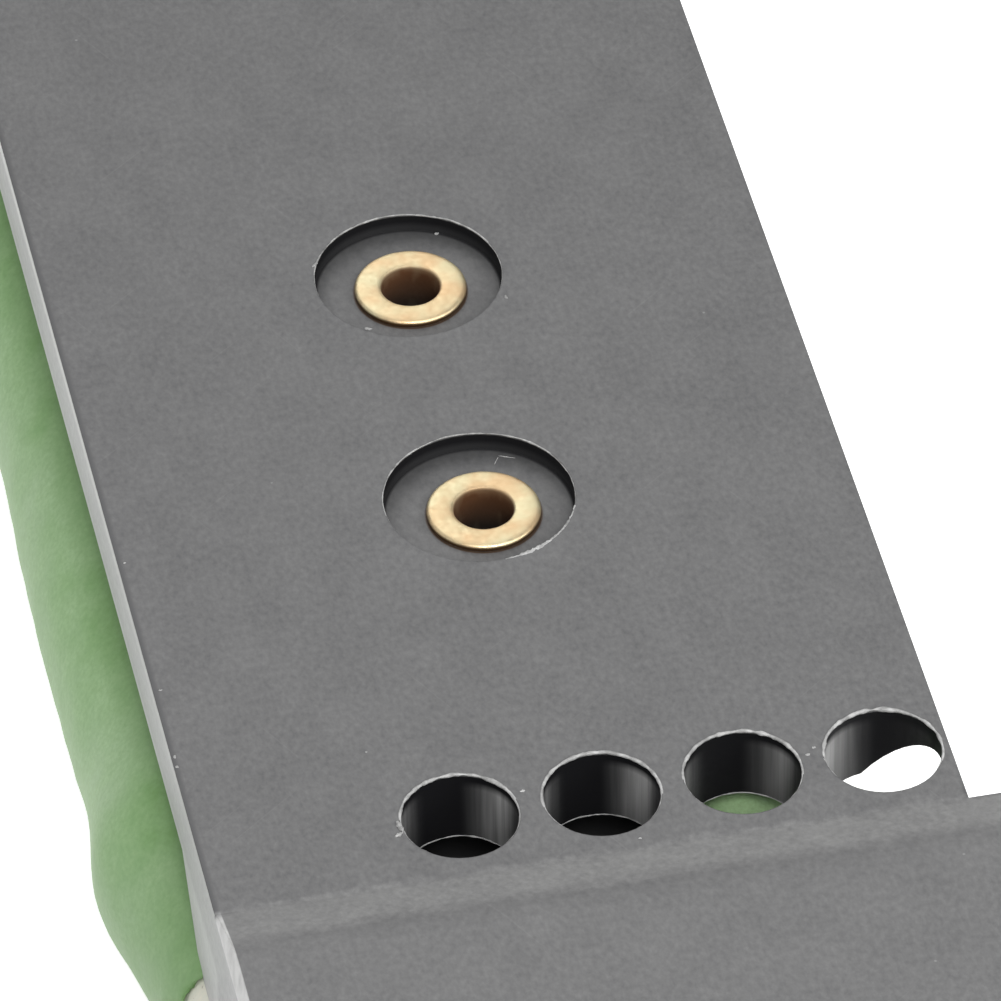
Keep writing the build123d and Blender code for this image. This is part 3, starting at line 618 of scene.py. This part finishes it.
def makeRivet(name, node, spot):
    shape = rivetShape
    low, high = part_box(node)
    middle = Vector((spot[0] * mm, spot[1] * mm, 0))
    bore, shank = shape["bore"] / 2, shape["shank"] / 2
    head, foot, rim = shape["head"] / 2, shape["foot"] / 2, shape["rim"]
    top, bottom = high.z / mm, low.z / mm
    outline = [
        # up the bore, over its mouth and out across the flattened rim
        (bore, bottom + 1.2), (bore, top - 1.2), (bore, top - 0.25), (bore + 0.02, top - 0.09),
        (bore + 0.08, top - 0.03), (bore + 0.2, top - 0.01), (bore + 0.5, top), (head - 0.3, top - 0.01),
        (head - 0.1, top - 0.03), (head - 0.01, top - 0.1), (head + 0.03, top - 0.21), (head, top - 0.32),
        # down the shank and round the rolled rim, back to the bore
        (head - 0.1, top - rim - 0.08), (shank, top - rim - 0.08), (shank, bottom + rim),
        (foot - 0.06, bottom + rim), (foot, bottom + rim - 0.06), (foot - 0.04, bottom + 0.16),
        (foot - 0.2, bottom + 0.04), (foot - 0.5, bottom), (bore + 0.3, bottom), (bore + 0.1, bottom + 0.04),
        (bore, bottom + 0.2),
    ]
    piece = turnedPiece(name, outline, middle, Vector((0, 0, 1)), shape["steps"])
    applyModifier("SUBSURF", levels=1, render_levels=1)
    roughen(name + "Dings", shape["dingSize"], shape["ding"])
    bpy.ops.object.shade_smooth()
    handOver(piece, brass, "rivet_brass", node)


makeRivet("lowerEyelet", "lower_rivet", rivetSpots[0])
makeRivet("upperEyelet", "upper_rivet", rivetSpots[1])
print("rivets made")

# Mould flash: a ragged hair of plastic that stands round each hole and seat, fullest on the side away from the head
flash = {
    "thick": 0.052, "ragged": 0.2, "grain": 0.5, "colour": "#c2c2c1", "shade": "#949493", "sink": 0.04,
    "underShare": 0.4, "seatShare": 0.42,        # of the thickness: round the holes' lower ends, and round the seats
    "holeTilt": 1.4, "seatTilt": 0.4,            # degrees that sink a ring's front
    "wander": 1.6, "least": 0.1, "tearGrain": 0.12,
}

# Torn bits of it as (x, y, below the tongue's face, length, width, turn in degrees)
tears = [
    (-9.44, 23.45, -0.02, 0.66, 0.2, 100), (-9.55, 23.0, 0.0, 0.36, 0.2, 30), (-5.85, 59.4, 0.0, 0.4, 0.11, 40),
    (1.88, 55.4, 0.0, 0.28, 0.1, 100), (-4.4, 54.68, 0.03, 0.34, 0.12, -15), (-0.02, 61.3, 0.86, 0.22, 0.12, 20),
    (-4.05, 24.45, 0.01, 0.2, 0.14, 0), (-9.89, 28.19, 0.01, 0.14, 0.1, 0), (-13.2, 19.8, 0.01, 0.4, 0.1, 20),
    (-17.57, 41.98, 0.01, 0.12, 0.09, 0), (-17.73, 39.23, 0.02, 0.14, 0.08, 60),
    (-17.58, 33.82, 0.01, 0.16, 0.12, 0), (-17.73, 29.65, 0.01, 0.18, 0.12, 90),
    (-17.76, 29.03, 0.01, 0.16, 0.12, 20), (0.09, 20.62, 0.01, 0.16, 0.1, 0), (8.0, 24.0, 0.01, 0.2, 0.12, 10),
    (8.35, 24.35, 0.01, 0.16, 0.12, 0),
]

# A loose sliver along the lower seat's rim as (angle, width), and scuffs on that seat's floor as (right of its middle,
# behind it, length, turn)
slivers = [(-82, 0.08), (-76, 0.12), (-70, 0.18), (-64, 0.2), (-58, 0.13), (-51, 0.1), (-44, 0.09), (-37, 0.12),
           (-30, 0.1), (-24, 0.08)]
scuffs = [(1.9, 3.25, 0.8, -25), (1.4, 3.1, 0.5, 60)]
seatX, seatY = seatSpots[0]
for angle, width in slivers:
    x = seatX + openings["seatWidth"] / 2 * math.cos(math.radians(angle))
    y = seatY + openings["seatWidth"] / 2 * math.sin(math.radians(angle))
    tears.append((x, y, 0.01, 0.66, width, angle + 90))
for right, behind, length, turn in scuffs:
    tears.append((seatX + right, seatY + behind, openings["seatFloor"], length, 0.04, turn))


# Torn nylon: paler than the moulded faces, because its edges are thin and stretched
def flashMaterial():
    material, tree, shader, place = startMaterial("tornNylon")
    tone = addNode(tree, "MapRange", [grains(tree, place, 0.4), *crispSpan])
    colour = paintOver(tree, flash["shade"], (tone, flash["colour"]))
    setSockets(tree, shader, {"Base Color": colour, "Roughness": 0.4})
    return material


# One ring, which wanders up and down, with its fullness in a vertex group
def makeRing(x, y, height, radius, share, tilt):
    clearSelection()
    bpy.ops.mesh.primitive_torus_add(major_radius=radius * mm, minor_radius=flash["thick"] * share * mm,
                                     major_segments=180, minor_segments=6, rotation=(math.radians(tilt), 0, 0),
                                     location=(x * mm, y * mm, height * mm))
    bpy.ops.object.transform_apply(location=True, rotation=True, scale=True)
    ring = bpy.context.object
    roughen("flashWander", flash["wander"], flash["thick"] * 2, direction="Z")
    fullness = ring.vertex_groups.new(name="fullness")
    for vertex in ring.data.vertices:
        back = 0.5 + 0.5 * (vertex.co.y / mm - y) / radius
        fullness.add([vertex.index], share * min(1, max(flash["least"], back)), "REPLACE")
    return ring


def makeTear(x, y, below, length, width, turn):
    clearSelection()
    bpy.ops.mesh.primitive_ico_sphere_add(subdivisions=3, radius=0.5 * mm, rotation=(0, 0, math.radians(turn)),
                                          location=(x * mm, y * mm, (openings["top"] - below) * mm),
                                          scale=(length, width, width * 0.7))
    bpy.ops.object.transform_apply(location=True, rotation=True, scale=True)
    roughen("tearLumps", flash["tearGrain"], width)
    return bpy.context.object


def makeFlash():
    holeRadius, seatRadius = openings["holeWidth"] / 2, openings["seatWidth"] / 2
    height = openings["top"] - flash["sink"]
    rings = [makeRing(x, y, height, holeRadius, 1.0, flash["holeTilt"]) for x, y in holeSpots]
    # the fourth hole's lower end is open to the bevelled edge
    rings += [makeRing(x, y, openings["under"], holeRadius, flash["underShare"], 0.0) for x, y in holeSpots[:3]]
    rings += [makeRing(x, y, height, seatRadius, flash["seatShare"], flash["seatTilt"]) for x, y in seatSpots]
    rings += [makeTear(*tear) for tear in tears]
    clearSelection()
    for ring in rings:
        ring.select_set(True)
    bpy.context.view_layer.objects.active = rings[0]
    bpy.ops.object.join()
    piece = bpy.context.object
    piece.name = "mouldFlash"
    roughen("flashTears", flash["grain"], flash["ragged"], vertex_group="fullness", mid_level=0.35)
    bpy.ops.object.shade_smooth()
    handOver(piece, flashMaterial(), "carrier_plastic")


makeFlash()
print("flash made")

# The pale floor glows where the camera or a reflection sees it. The sky is white to the camera and dim to the part
stage = {"floorSize": 6000, "floorColour": "#f4f4f4", "floorGlow": 0.7, "sky": 0.24}


def makeFloor():
    clearSelection()
    bpy.ops.mesh.primitive_plane_add(size=stage["floorSize"] * mm, location=(0, 0, cadBox[0].z))
    floor = bpy.context.object
    floor.name = "paleFloor"
    material = bpy.data.materials.new("palePaper")
    material.use_nodes = True
    tree = material.node_tree
    rays = addNode(tree, "LightPath")
    seen = inAny(tree, rays.outputs["Is Camera Ray"], rays.outputs["Is Glossy Ray"])
    setSockets(tree, tree.nodes["Principled BSDF"], {
        "Base Color": stage["floorColour"], "Roughness": 0.9, "Specular IOR Level": 0, "Emission Color": (1, 1, 1, 1),
        "Emission Strength": inCommon(tree, seen, stage["floorGlow"])})
    floor.data.materials.append(material)


def makeSky():
    world = bpy.data.worlds.new("studioSky")
    bpy.context.scene.world = world
    world.use_nodes = True
    tree = world.node_tree
    rays = addNode(tree, "LightPath")
    seen = inAny(tree, rays.outputs["Is Camera Ray"], rays.outputs["Is Transmission Ray"])
    strength = addNode(tree, "MapRange", [seen, 0, 1, stage["sky"], 1])
    setSockets(tree, tree.nodes["Background"], {"Color": (1, 1, 1, 1), "Strength": strength})


# Softboxes: behind, above, behind the camera, and at both sides, all aimed at the tongue
softboxes = {
    "backSoftbox": {"place": (-80, 1400, 1280), "size": 1200, "watts": 8.0},
    "topSoftbox": {"place": (-60, 200, 1300), "size": 400, "watts": 0.9},
    "frontSoftbox": {"place": (-10, -230, 280), "size": 200, "watts": 1.0},
    "leftSoftbox": {"place": (-560, 120, 120), "size": 360, "watts": 0.72},
    "rightSoftbox": {"place": (330, -200, 250), "size": 260, "watts": 0.95},
}
lampTarget = (-2, 45, 5)


def makeLamps():
    for name, box in softboxes.items():
        place = Vector(box["place"]) * mm
        turn = (Vector(lampTarget) * mm - place).to_track_quat("-Z", "Y").to_euler()
        bpy.ops.object.light_add(type="AREA", location=place, rotation=turn)
        lamp = bpy.context.object
        lamp.name = name
        lamp.data.shape = "SQUARE"
        lamp.data.size = box["size"] * mm
        lamp.data.energy = box["watts"]


makeFloor()
makeSky()
makeLamps()
print("stage made")

# Camera: a long lens above the harness end, looking down the tongue
camera = {"azimuth": 11.508, "elevation": 41.687, "roll": -0.814, "distance": 433.92, "lens": 364.59, "sensor": 36,
          "target": (-1.155, 42.364, 7.0), "clip": (10, 20000)}


def makeCamera():
    turn = Matrix.Rotation(math.radians(-camera["azimuth"]), 3, "Z")
    turn = turn @ Matrix.Rotation(math.radians(90 - camera["elevation"]), 3, "X")
    turn = turn @ Matrix.Rotation(math.radians(camera["roll"]), 3, "Z")
    back = turn @ Vector((0, 0, 1))
    place = (Vector(camera["target"]) + back * camera["distance"]) * mm
    bpy.ops.object.camera_add(location=place, rotation=turn.to_euler())
    eye = bpy.context.object
    eye.name = "photoCamera"
    eye.data.sensor_width = camera["sensor"]
    eye.data.lens = camera["lens"]
    eye.data.clip_start, eye.data.clip_end = [length * mm for length in camera["clip"]]
    bpy.context.scene.camera = eye


makeCamera()
bpy.context.scene.view_settings.view_transform = "Standard"
